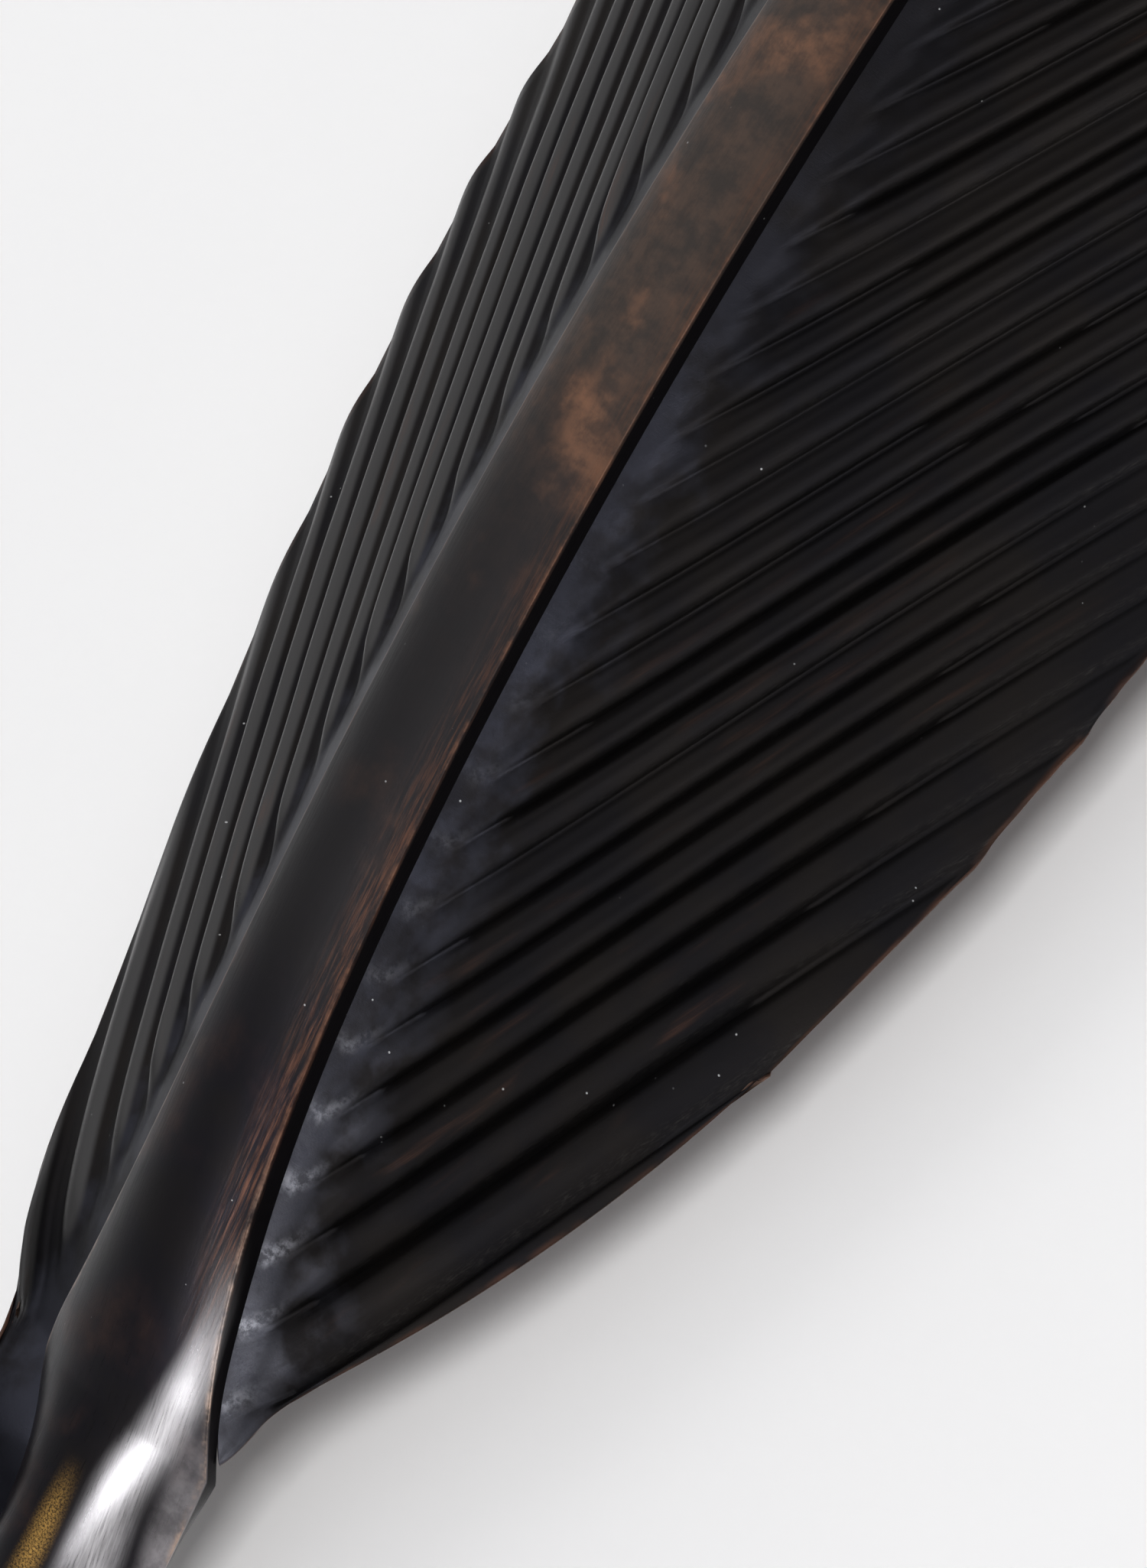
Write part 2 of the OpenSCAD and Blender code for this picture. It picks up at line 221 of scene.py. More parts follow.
def apron(s, side):
    """How far the right half rises to meet the band, where it touches it."""
    rise = APRON_RISE * np.exp(-((np.maximum(0, s - APRON_AT) / APRON_L) ** 2))
    return np.where(side == RIGHT, rise, 0)


def unroll(s):
    return ease(-SCROLL_HALF, SCROLL_HALF, s)


def stem_section(v):
    a = SEAM_ANGLE * v
    return STEM_R * np.sin(a), STEM_R * (1 - np.cos(a))


def band_section(s, v):
    b = band_half(s)
    a = np.abs(v)
    k = np.minimum(1, a / BAND_SHOULDER)
    drop = np.maximum(0, (a - BAND_SHOULDER) / (1 - BAND_SHOULDER))
    edge = BAND_EDGE * b
    foot = b * math.tan(DROOP) - apron(s, np.sign(v)) - FOOT_LIFT
    out = np.sign(v) * b * (k + FOOT_SPLAY * drop)
    return out, edge - BAND_CROWN * b * (1 - k * k) + (foot - edge) * drop


def strip_section(s, v):
    """Sideways place and depth behind the fold of the strip's outer face, for v from -1 to 1."""
    k = unroll(s)
    x0, y0 = stem_section(v)
    x1, y1 = band_section(s, v)
    return mix(x0, x1, k), mix(y0, y1, k)


def foot_u(s, side):
    """Where a half meets the side of the strip, as a developed distance from the fold."""
    low = np.full_like(s, SIDE_FROM[side])
    high = np.ones_like(s)
    for _ in range(24):
        m = (low + high) / 2
        x, y = strip_section(s, side * m)
        beyond = y > side * x * math.tan(DROOP) - apron(s, side)
        high = np.where(beyond, m, high)
        low = np.where(beyond, low, m)
    return side * strip_section(s, side * low)[0] / math.cos(DROOP) + SIDE_GAP


def half_w(s, side):
    u = np.maximum(0, s + LEAD[side])
    t = np.clip(s / BLADE_L, 0, 1)
    opening = 1 - np.exp(-u / OPEN_L[side] - (u / FULL_L) ** 2)
    tongue = TONGUE_W * np.exp(-np.maximum(0, (s - TONGUE_AT) / TONGUE_L) ** 2) if side == RIGHT else 0
    return FULL_W[side] * opening * (1 - t**TIP_POWER) + tongue


def half_point(s, u, side):
    """Front face of a half before pleating, in mm, in the frame's axes."""
    foot = foot_u(s, side)
    u1 = np.minimum(u, foot)
    v = u - u1
    flat = np.maximum(LEAST_W, half_w(s, side) - foot)
    lift = BASE_LIFT * np.exp(-np.maximum(s, 0) / LIFT_L) if side == LEFT else 0
    far = DROOP - TURN[side] - lift
    c = FLARE[side] * v**3 / (3 * flat**2)
    out = math.cos(DROOP) * u1 + np.cos(far) * v + np.sin(far) * c
    back = math.sin(DROOP) * u1 + np.sin(far) * v - np.cos(far) * c
    back = back - apron(s, side) * (1 - ease(0, APRON_W, v))
    return np.stack([fold_x(s) + side * out, fold_y(s) + back, fold_z(s)], -1)


def inner_u(s, side):
    """Inner edge of a half. It reaches into the side of the strip, so that no light shows between them."""
    b = band_half(s)
    tuck = np.minimum(b, TUCK_SHARE * b + SHEET + TUCK_MORE) / math.cos(DROOP)
    return mix(foot_u(s, side) - BRAZED, tuck, ease(TUCK_FROM, TUCK_TO, s))


def vein_run(x, side):
    bend = (VEIN_END[side] - VEIN_START[side]) * VEIN_BEND
    return VEIN_END[side] * x - bend * (1 - np.exp(-x / VEIN_BEND))


def vein_start_u(s, side):
    start = np.maximum(band_half(s) + BARE_STRIP[side], inner_u(s, side) + BRAZED + LEAST_W / 2)
    return np.minimum(start, half_w(s, side) - LEAST_W / 4)


def vein_cross(s, side, u, inside, outside):
    """Where a pleat line starting at (s, u) crosses the margin."""
    a = np.full_like(s, inside)
    b = np.full_like(s, outside)
    for _ in range(36):
        m = (a + b) / 2
        on_half = half_w(s + vein_run(m, side), side) > u + m
        a = np.where(on_half, m, a)
        b = np.where(on_half, b, m)
    return (a + b) / 2


def base_station(side):
    """The lowest station of a half, where it is just wider than the strip."""
    low, high = BASE_BETWEEN[side]
    for _ in range(30):
        m = np.array([(low + high) / 2])
        if half_w(m, side)[0] > foot_u(m, side)[0] + LEAST_W:
            high = m[0]
        else:
            low = m[0]
    return high


def place(points):
    """From mm in the leaf's axes to metres in the frame."""
    return points * UNIT + np.array([FIXING_X, WALL_Y, FIXING_Z])


# ---------------------------------------------------------------------------------------------
# Meshes
# ---------------------------------------------------------------------------------------------
def grid_normals(p):
    along = np.gradient(p, axis=0)
    across = np.gradient(p, axis=1)
    n = np.cross(along, across)
    length = np.linalg.norm(n, axis=2, keepdims=True)
    return n / np.maximum(length, 1e-9)


def closed_sheet(name, front, back, marks, flip, sharp_angle):
    """A closed sheet between two grids, with a rounded rim, and the named marks at each point."""
    rows, cols = front.shape[:2]
    n = rows * cols
    index = np.arange(n).reshape(rows, cols)
    ring = np.concatenate([index[0, :-1], index[:-1, -1], index[-1, :0:-1], index[:0:-1, 0]])
    next_ring = np.roll(ring, -1)
    flat_front = front.reshape(-1, 3)
    flat_back = back.reshape(-1, 3)
    middle = (flat_front[ring] + flat_back[ring]) / 2
    inward = np.concatenate([index[1, :-1], index[:-1, -2], index[-2, :0:-1], index[:0:-1, 1]])
    outward = flat_front[ring] - flat_front[inward]
    outward /= np.maximum(np.linalg.norm(outward, axis=1, keepdims=True), 1e-9)
    middle = middle + outward * SHEET * 0.25
    points = np.concatenate([flat_front, flat_back, middle])
    a = index[:-1, :-1].ravel()
    b = index[1:, :-1].ravel()
    c = index[1:, 1:].ravel()
    d = index[:-1, 1:].ravel()
    rim = 2 * n + np.arange(len(ring))
    next_rim = np.roll(rim, -1)
    quads = np.concatenate([
        np.stack([a, b, c, d], 1),
        np.stack([a + n, d + n, c + n, b + n], 1),
        np.stack([ring, next_ring, next_rim, rim], 1),
        np.stack([rim, next_rim, next_ring + n, ring + n], 1),
    ])
    if flip:
        quads = quads[:, ::-1]
    mesh = bpy.data.meshes.new(name)
    mesh.from_pydata(place(points).tolist(), [], quads.tolist())
    mesh.polygons.foreach_set("use_smooth", np.ones(len(quads), bool))
    mesh.set_sharp_from_angle(angle=math.radians(sharp_angle))
    for key, value in marks.items():
        flat = value.reshape(-1)
        whole = np.concatenate([flat, flat, flat[ring]]).astype(np.float32)
        mesh.attributes.new(key, "FLOAT", "POINT").data.foreach_set("value", whole)
    rim_mark = np.zeros(len(points), np.float32)
    rim_mark[2 * n:] = 1
    mesh.attributes.new("rim", "FLOAT", "POINT").data.foreach_set("value", rim_mark)
    back_mark = np.zeros(len(points), np.float32)
    back_mark[n:2 * n] = 1
    mesh.attributes.new("back", "FLOAT", "POINT").data.foreach_set("value", back_mark)
    mesh.update()
    obj = bpy.data.objects.new(name, mesh)
    bpy.context.scene.collection.objects.link(obj)
    return obj


def right_profile(t, far):
    """Height across a pleat of the right half: a narrow groove, a rounded ridge, fine lines far out."""
    groove = np.exp(-(np.hypot(t, 0.06) - 0.06) / 0.11) + np.exp(-(np.hypot(1 - t, 0.06) - 0.06) / 0.15)
    main = 0.75 - 1.75 * groove + 0.4 * np.sin(np.pi * t)
    second = np.exp(-np.abs(t - 0.36) / 0.06)
    third = np.exp(-np.abs(t - 0.66) / 0.06)
    return main * (1 - 0.3 * far) - far * (0.6 * second + 0.4 * third)


def left_profile(t):
    """Height across a pleat of the left half: a broad soft ridge and a flat valley."""
    return np.where(np.abs(t - 0.5) < 0.36, np.cos(np.pi * (t - 0.5) / 0.72), 0) ** 1.1 * 1.6 - 0.5


def pleat_height(side, phase, x, margin, line):
    """Height of the pleats above the half's mean surface, x beyond the band, in mm."""
    t = phase - np.floor(phase)
    length = np.maximum(x + margin, 1)
    strength = 1 + 0.3 * wander(line, 1.1 * PITCH[side], 23 + side)
    fade = 1 - (0.45 if side == RIGHT else 0.65) * ease(0.55, 1, x / length)
    if side == RIGHT:
        crest = right_profile(t, ease(70, 150, x))
        rise = ease(0, 13, x)
        size = mix(1.7, 1.15, ease(120, 260, line))
    else:
        crest = left_profile(t)
        rise = ease(0, 9, x)
        size = 2.3
    hollow = np.sin(np.pi * t) ** 2 * bump(x, 5, 4.5) * (np.exp(-np.maximum(line, 0) / 260) + 0.25)
    return size * strength * rise * fade * crest - 0.9 * hollow


def half_lines(side, s0):
    """Stations, developed distances and runs beyond the band, along the pleat lines that start at s0."""
    start = vein_start_u(s0, side)[:, None]
    end = vein_cross(s0, side, start[:, 0], 0, FAR_OUT)[:, None]
    inner = inner_u(s0, side)[:, None]
    flange = (np.linspace(0, 1, FLANGE_COLS + 1)[:-1] - 1) * (start - inner)
    vein = end * np.linspace(0, 1, VEIN_COLS + 1) ** VEIN_CROWDING
    x = np.concatenate([flange, vein], 1)
    s = s0[:, None] + np.concatenate([0 * flange, vein_run(vein, side)], 1)
    return s, start + x, x, end - x


def edge_lines(lines, base):
    """Lines that fill the corner between the right half's lowest groove and the margin below it."""
    s, u, x, margin = (v[0] for v in lines)
    share = np.linspace(1, 0, EDGE_ROWS + 1)[:-1][:, None]
    along = (s - s[0]) / (s[-1] - s[0])
    edge_s = mix(base, s[-1] - EDGE_STEP, mix(along, np.linspace(0, 1, len(s)), EDGE_SPREAD))
    edge_u = half_w(edge_s, RIGHT)
    reach = np.hypot(edge_s - s, edge_u - u)
    margin = np.minimum(margin, (1 - share) * reach)
    return share, (mix(s, edge_s, share), mix(u, edge_u, share), x + 0 * share, margin)


def blade(side, name):
    """One half of the leaf, meshed along its pleats."""
    pitch = PITCH[side]
    base = base_station(side)
    groove = FIRST_GROOVE[side]
    first = 0 if side == RIGHT else math.ceil((base - groove) / pitch * LINES_NEAR) / LINES_NEAR
    near = np.arange(first, (NEAR_TOP - groove) / pitch, 1 / LINES_NEAR)
    above = np.arange(near[-1] + 1 / LINES_FAR, (HALF_TOP - groove) / pitch, 1 / LINES_FAR)
    phase = np.concatenate([near, above])
    uneven = 0.07 * wander(groove + pitch * phase, 2.3 * pitch, 11 + side) * ease(0, 1, phase)
    s0 = groove + pitch * (phase + uneven)
    inside = (s0 > base) & (s0 < HALF_TOP - 1)
    low_end = [base] if side == LEFT else []
    s0 = np.concatenate([low_end, s0[inside], [HALF_TOP]])
    phase = np.concatenate([low_end, phase[inside], [HALF_TOP]])
    phase[-1] = phase[-2]
    phase[0] = phase[1] if side == LEFT else 0
    phase = phase[:, None]
    lines = half_lines(side, s0)
    plain = 0 * phase
    if side == RIGHT:
        share, edge = edge_lines(lines, base)
        lines = [np.concatenate(pair) for pair in zip(edge, lines)]
        phase = np.concatenate([-0.5 * share, phase])
        plain = np.concatenate([share, plain])
    s_grid, u_grid, x_grid, margin = lines
    line = groove + pitch * phase + 0 * x_grid
    base_point = half_point(s_grid, u_grid, side)
    normal = -side * grid_normals(base_point)
    height = pleat_height(side, phase, x_grid, margin, line) * (1 - plain)
    inner = u_grid - inner_u(s_grid, side)
    height = height + 0.18 * dents(s_grid, u_grid, 22, 31 + side) * ease(0, 20, inner) * (1 - plain)
    front = base_point + normal * height[..., None]
    back = front + side * grid_normals(front) * SHEET
    # How the painted glints at the pleat roots fade up the leaf.
    glint_fading = ease(45, 62, line) * mix(1 - ease(60, 170, line), 1 - ease(60, 330, line), 0.2)
    marks = {
        "along": s_grid,
        "out": u_grid,
        "line": line,
        "beyond": x_grid,
        "margin": margin,
        "crest": height,
        "scratch": bump(phase - np.floor(phase), 0.13, 0.07) * ease(6, 20, x_grid),
        "root_glint": bump(phase - np.floor(phase), 0.2, 0.12) * bump(x_grid, 0, 3.8) * glint_fading,
    }
    return closed_sheet(name, front, back, marks, side == RIGHT, 84)


def strip_v():
    """Places across the strip, closer together where its face turns into its walls."""
    face = np.linspace(0, BAND_SHOULDER - 0.03, 17)
    turn = np.linspace(BAND_SHOULDER - 0.03, BAND_SHOULDER + 0.045, 9)[1:]
    wall = np.linspace(BAND_SHOULDER + 0.045, 1, 7)[1:]
    half = np.concatenate([face, turn, wall])
    return np.concatenate([-half[:0:-1], half])


def rounded_section(s, v, radius_share):
    """The strip's section with its two arrises rounded, as the mean over a small span of v."""
    span = radius_share
    total_x = 0
    total_y = 0
    weights = 0
    for k in np.linspace(-1, 1, 9):
        w = 1 - 0.8 * abs(k)
        x, y = strip_section(s, np.clip(v + span * k, -1.02, 1.02))
        total_x = total_x + w * x
        total_y = total_y + w * y
        weights = weights + w
    edge = ease(0.9, 1, np.abs(v))
    x, y = strip_section(s, v)
    return mix(total_x / weights, x, edge), mix(total_y / weights, y, edge)


def midrib(name):
    low = np.linspace(-STEM_L, 130, 240)
    high = np.linspace(130, BLADE_TOP, 420)[1:]
    s = np.concatenate([low, high])[:, None]
    v = strip_v()[None, :]
    s_grid = s + 0 * v
    v_grid = v + 0 * s
    x, y = rounded_section(s_grid, v_grid, 0.012)
    front = np.stack([fold_x(s_grid) + x, fold_y(s_grid) + y, fold_z(s_grid)], -1)
    normal = grid_normals(front)
    middle = v_grid.shape[1] // 2
    if normal[100, middle, 1] > 0:
        normal = -normal
    relief = 0.12 * dents(s_grid, 20 * v_grid, 26, 77) + 0.05 * dents(s_grid, 20 * v_grid, 9, 78)
    calm = 1 - ease(0.6, 0.72, np.abs(v_grid))
    front = front + normal * (relief * calm)[..., None]
    back = front - normal * SHEET
    marks = {
        "along": s_grid,
        "across": v_grid,
        "arc": v_grid * band_half(s_grid) / BAND_SHOULDER,
    }
    return closed_sheet(name, front, back, marks, True, 50)


# ---------------------------------------------------------------------------------------------
# Materials
# ---------------------------------------------------------------------------------------------
class Graph:
    """A short way to write a material's nodes."""

    def __init__(self, name):
        self.material = bpy.data.materials.new(name)
        self.material.use_nodes = True
        self.tree = self.material.node_tree
        self.tree.nodes.clear()

    def node(self, kind, **settings):
        made = self.tree.nodes.new(kind)
        for key, value in settings.items():
            setattr(made, key, value)
        return made

    def put(self, socket, value):
        if isinstance(value, bpy.types.NodeSocket):
            self.tree.links.new(value, socket)
        else:
            socket.default_value = value

    def math(self, operation, a, b=0.0, c=0.0):
        made = self.node("ShaderNodeMath", operation=operation)
        for socket, value in zip(made.inputs, (a, b, c)):
            self.put(socket, value)
        return made.outputs[0]

    def mark(self, name):
        return self.node("ShaderNodeAttribute", attribute_name=name).outputs["Fac"]

    def vector(self, x, y, z=0.0):
        made = self.node("ShaderNodeCombineXYZ")
        for socket, value in zip(made.inputs, (x, y, z)):
            self.put(socket, value)
        return made.outputs[0]

    def noise(self, vector, scale=1.0, detail=3.0, rough=0.5):
        made = self.node("ShaderNodeTexNoise")
        self.put(made.inputs["Vector"], vector)
        self.put(made.inputs["Scale"], scale)
        self.put(made.inputs["Detail"], detail)
        self.put(made.inputs["Roughness"], rough)
        return made.outputs["Fac"]

    def span(self, value, a, b, low=0.0, high=1.0):
        """Smooth step of value from a to b, mapped to low..high."""
        made = self.node("ShaderNodeMapRange", interpolation_type="SMOOTHSTEP")
        for socket, v in zip(made.inputs, (value, a, b, low, high)):
            self.put(socket, v)
        return made.outputs["Result"]

    def colour(self, fac, a, b):
        made = self.node("ShaderNodeMix", data_type="RGBA")
        self.put(made.inputs["Factor"], fac)
        self.put(made.inputs["A"], a if isinstance(a, bpy.types.NodeSocket) else (*a, 1))
        self.put(made.inputs["B"], b if isinstance(b, bpy.types.NodeSocket) else (*b, 1))
        return made.outputs["Result"]

    def bump(self, height, strength, distance, normal=None):
        made = self.node("ShaderNodeBump")
        self.put(made.inputs["Strength"], strength)
        self.put(made.inputs["Distance"], distance)
        self.put(made.inputs["Height"], height)
        if normal is not None:
            self.put(made.inputs["Normal"], normal)
        return made.outputs["Normal"]

    def surface(self, **inputs):
        shader = self.node("ShaderNodeBsdfPrincipled")
        for key, value in inputs.items():
            name = key.replace("_", " ").title().replace("Ior", "IOR")
            if isinstance(value, tuple) and len(value) == 3:
                value = (*value, 1)
            self.put(shader.inputs[name], value)
        out = self.node("ShaderNodeOutputMaterial")
        self.tree.links.new(shader.outputs[0], out.inputs["Surface"])
        return self.material


COPPER = (0.42, 0.17, 0.085)
RUBBED = (0.17, 0.075, 0.045)
PATINA_DARK = (0.0078, 0.0072, 0.0084)
PATINA_BROWN = (0.0115, 0.0097, 0.009)
PATINA_BLUE = (0.029, 0.03, 0.04)
# Pale grey painted on the left half's crests: a painted highlight where light catches them.
CREST_HIGHLIGHT_GREY = (0.05, 0.0485, 0.0485)
SCRATCHED = (0.04, 0.037, 0.034)
DUST = (0.5, 0.5, 0.5)
BACK_BROWN = (0.12, 0.08, 0.062)
BACK_RED = (0.2, 0.11, 0.08)


def dust_specks(g, x, y, density):
    """Tiny pale specks, as a mask."""
    cells = g.node("ShaderNodeTexVoronoi", feature="F1")
    g.put(cells.inputs["Vector"], g.vector(x, y))
    g.put(cells.inputs["Scale"], density)
    near = g.span(cells.outputs["Distance"], 0.03, 0.055, 1, 0)
    some = g.span(g.noise(g.vector(x, y), density * 0.35, 1), 0.55, 0.62)
    return g.math("MULTIPLY", near, some)


def blade_patina(name, side):
    g = Graph(name)
    along = g.mark("along")
    out = g.mark("out")
    line = g.mark("line")
    beyond = g.mark("beyond")
    margin = g.mark("margin")
    crest = g.mark("crest")
    rim = g.mark("rim")
    behind = g.mark("back")
    flat = g.vector(along, out)
    with_pleats = g.vector(line, g.math("MULTIPLY", beyond, 0.06))
    clouds = g.noise(flat, 0.022, 4, 0.6)
    streaks = g.noise(with_pleats, 1.4, 4, 0.65)
    colour = g.colour(g.span(clouds, 0.35, 0.65), PATINA_DARK, PATINA_BROWN)
    colour = g.colour(g.span(streaks, 0.45, 0.8, 0, 0.5), colour, PATINA_BROWN)
    ragged = g.math("ADD", beyond, g.span(g.noise(flat, 0.06, 4, 0.6), 0.3, 0.7, -9, 9))
    near_band = g.math("MULTIPLY", g.span(ragged, -10, 16, 1, 0), g.span(along, 240, 430, 1, 0.3))
    colour = g.colour(g.math("MULTIPLY", near_band, g.span(clouds, 0.25, 0.6, 0.45, 1)), colour, PATINA_BLUE)
    top = g.span(crest, 0.7, 1.7)
    # Painted glints: pale spots where each ridge rises from the flange, standing in for reflected light.
    root_glint = g.math("MULTIPLY", g.mark("root_glint"), g.span(g.noise(flat, 0.3, 4, 0.7), 0.38, 0.62, 0.1, 1))
    if side == RIGHT:
        # Paler blue-grey near the base of the strip beside the band: a painted sheen of light reflecting off
        # the flange.
        low = g.math("MULTIPLY", near_band, g.span(along, 60, 190, 1, 0))
        low = g.math("MULTIPLY", low, g.span(g.noise(flat, 0.12, 4, 0.7), 0.3, 0.65, 0.3, 1))
        colour = g.colour(g.math("MULTIPLY", low, 0.8), colour, (0.1, 0.1, 0.115))
        colour = g.colour(g.math("MULTIPLY", root_glint, 0.65), colour, (0.5, 0.5, 0.55))
    if side == LEFT:
        # The left half's crests are painted paler grey: a painted highlight.
        colour = g.colour(g.span(crest, 0.1, 1.3), colour, CREST_HIGHLIGHT_GREY)
    else:
        broken = g.noise(g.vector(line, g.math("MULTIPLY", beyond, 0.3)), 2.4, 4, 0.7)
        scratch = g.math("MULTIPLY", g.mark("scratch"), g.span(broken, 0.45, 0.7))
        colour = g.colour(g.math("MULTIPLY", scratch, 0.6), colour, SCRATCHED)
    worn = g.span(g.noise(g.vector(line, g.math("MULTIPLY", beyond, 0.45)), 0.055, 3, 0.7), 0.56, 0.72)
    worn = g.math("MULTIPLY", worn, g.span(streaks, 0.4, 0.7, 0.25, 1))
    worn = g.math("MULTIPLY", worn, top)
    colour = g.colour(g.math("MULTIPLY", worn, 0.3), colour, RUBBED)
    edge = g.span(margin, 0.3, 2.2, 1, 0)
    edge = g.math("MULTIPLY", edge, g.span(g.noise(flat, 0.05, 3), 0.4, 0.62))
    colour = g.colour(g.math("MULTIPLY", edge, 0.22), colour, RUBBED)
    colour = g.colour(g.math("MULTIPLY", rim, 0.3), colour, RUBBED)
    colour = g.colour(behind, colour, g.colour(g.span(clouds, 0.35, 0.65), BACK_BROWN, BACK_RED))
    specks = dust_specks(g, along, out, 0.16)
    colour = g.colour(g.math("MULTIPLY", specks, 0.7), colour, DUST)
    if side == LEFT:
        rough = g.span(crest, -0.6, 1.4, 0.5, 0.33)
    else:
        rough = g.span(streaks, 0.3, 0.75, 0.36, 0.5)
    rough = g.math("SUBTRACT", rough, g.math("MULTIPLY", near_band, 0.08))
    grain = g.noise(flat, 1.6, 5, 0.7)
    drawn = g.vector(g.math("MULTIPLY", line, 2.2), g.math("MULTIPLY", beyond, 0.12))
    scratches = g.noise(drawn, 2.2, 3, 0.7)
    normal = g.bump(grain, 0.12, 0.0006)
    normal = g.bump(scratches, 0.14, 0.0005, normal)
    return g.surface(base_color=colour, metallic=0.85, roughness=rough, specular_ior_level=0.3, normal=normal)


def midrib_patina(name):
    g = Graph(name)
    along = g.mark("along")
    across = g.mark("across")
    arc = g.mark("arc")
    rim = g.mark("rim")
    behind = g.mark("back")
    flat = g.vector(along, arc)
    brushed = g.vector(g.math("MULTIPLY", along, 0.05), arc)
    clouds = g.noise(flat, 0.028, 4, 0.55)
    fine_clouds = g.noise(flat, 0.12, 4, 0.65)
    streaks = g.noise(brushed, 1.7, 4, 0.7)
    dark = g.colour(g.span(clouds, 0.4, 0.6), (0.014, 0.0125, 0.0135), (0.011, 0.0105, 0.014))
    brown = g.colour(g.span(fine_clouds, 0.35, 0.65), (0.05, 0.042, 0.038), (0.082, 0.058, 0.047))
    upper = g.span(along, 190, 330)
    colour = g.colour(upper, dark, brown)
    grey_stretch = g.math("MULTIPLY", g.span(along, 120, 180), g.span(along, 260, 330, 1, 0))
    colour = g.colour(g.math("MULTIPLY", grey_stretch, 0.85), colour, (0.026, 0.0245, 0.0255))
    patches = g.math("MULTIPLY", g.span(clouds, 0.5, 0.66), g.span(fine_clouds, 0.35, 0.7, 0.3, 1))
    patches = g.math("MULTIPLY", patches, g.span(along, 230, 330, 0.1, 0.8))
    colour = g.colour(patches, colour, (0.25, 0.125, 0.075))
    side = g.math("ABSOLUTE", across)
    # Pale grey on the right of the strip near the base: a painted sheen of reflected light.
    painted_sheen = g.math("MULTIPLY", g.span(across, 0.5, 0.66), g.span(along, 10, 60, 1, 0))
    painted_sheen = g.math("MULTIPLY", painted_sheen, g.span(fine_clouds, 0.3, 0.65, 0.5, 1))
    colour = g.colour(g.math("MULTIPLY", painted_sheen, 0.85), colour, (0.33, 0.31, 0.32))
    right_side = g.span(across, 0.36, 0.74)
    rubbed = g.math("MULTIPLY", right_side, g.span(along, 40, 110))
    rubbed = g.math("MULTIPLY", rubbed, g.span(along, 170, 260, 1, 0.5))
    rubbed = g.math("MULTIPLY", rubbed, g.span(g.noise(brushed, 1.1, 5, 0.75), 0.44, 0.66))
    colour = g.colour(g.math("MULTIPLY", rubbed, 0.6), colour, RUBBED)
    arris = g.math("MULTIPLY", g.span(side, 0.7, 0.75), g.span(side, 0.76, 0.785, 1, 0))
    arris = g.math("MULTIPLY", arris, g.span(g.noise(flat, 0.09, 4, 0.75), 0.42, 0.66, 0.05, 0.75))
    # The arris is worn to bare copper; its paler tint near the base is a painted highlight.
    bare_and_highlight = g.colour(g.span(along, 60, 125), (0.5, 0.36, 0.28), (0.17, 0.085, 0.055))
    colour = g.colour(arris, colour, bare_and_highlight)
    # A pale line along the left arris: a painted highlight on the crease.
    left_arris_highlight = g.math("MULTIPLY", g.span(across, -0.79, -0.76), g.span(across, -0.745, -0.72, 1, 0))
    colour = g.colour(g.math("MULTIPLY", left_arris_highlight, 0.6), colour, (0.2, 0.18, 0.17))
    # The strip's side walls are painted near black: painted shade where they fall in shadow.
    wall = g.span(side, 0.78, 0.81)
    colour = g.colour(wall, colour, (0.007, 0.006, 0.007))
    # Paler metal along the streak down the stem: worn polished metal, and a painted highlight that follows
    # where the lamp's reflection falls.
    streak_at = g.span(along, 16, 78, 0.33, 0.74)
    aside = g.math("ABSOLUTE", g.math("SUBTRACT", across, streak_at))
    polish_and_highlight = g.math("MULTIPLY", g.span(aside, 0.0, 0.2, 1, 0), g.span(along, 30, 95, 1, 0))
    polish_and_highlight = g.math("MULTIPLY", polish_and_highlight, g.span(streaks, 0.3, 0.65, 0.55, 0.95))
    colour = g.colour(polish_and_highlight, colour, (0.55, 0.53, 0.54))
    gold = g.noise(flat, 1.8, 4, 0.8)
    spot = g.math("MULTIPLY", g.span(along, -26, -4), g.span(along, 0, 22, 1, 0))
    spot = g.math("MULTIPLY", spot, g.span(across, -0.06, 0.05))
    spot = g.math("MULTIPLY", spot, g.span(across, 0.04, 0.14, 1, 0))
    spot = g.math("MULTIPLY", spot, g.span(gold, 0.38, 0.62, 0.05, 0.95))
    colour = g.colour(spot, colour, (0.62, 0.36, 0.1))
    colour = g.colour(g.math("MULTIPLY", rim, 0.7), colour, (0.3, 0.22, 0.17))
    colour = g.colour(behind, colour, g.colour(g.span(clouds, 0.35, 0.65), BACK_BROWN, BACK_RED))
    specks = dust_specks(g, along, arc, 0.16)
    colour = g.colour(g.math("MULTIPLY", specks, 0.6), colour, DUST)
    rough = g.span(streaks, 0.3, 0.7, 0.42, 0.55)
    rough = g.math("SUBTRACT", rough, g.math("MULTIPLY", g.span(along, 50, 150, 1, 0), 0.16))
    normal = g.bump(streaks, g.span(along, 60, 200, 0.03, 0.1), 0.0005)
    normal = g.bump(g.noise(flat, 1.8, 4, 0.7), 0.06, 0.0005, normal)
    return g.surface(base_color=colour, metallic=0.9, roughness=rough, specular_ior_level=0.2, normal=normal)


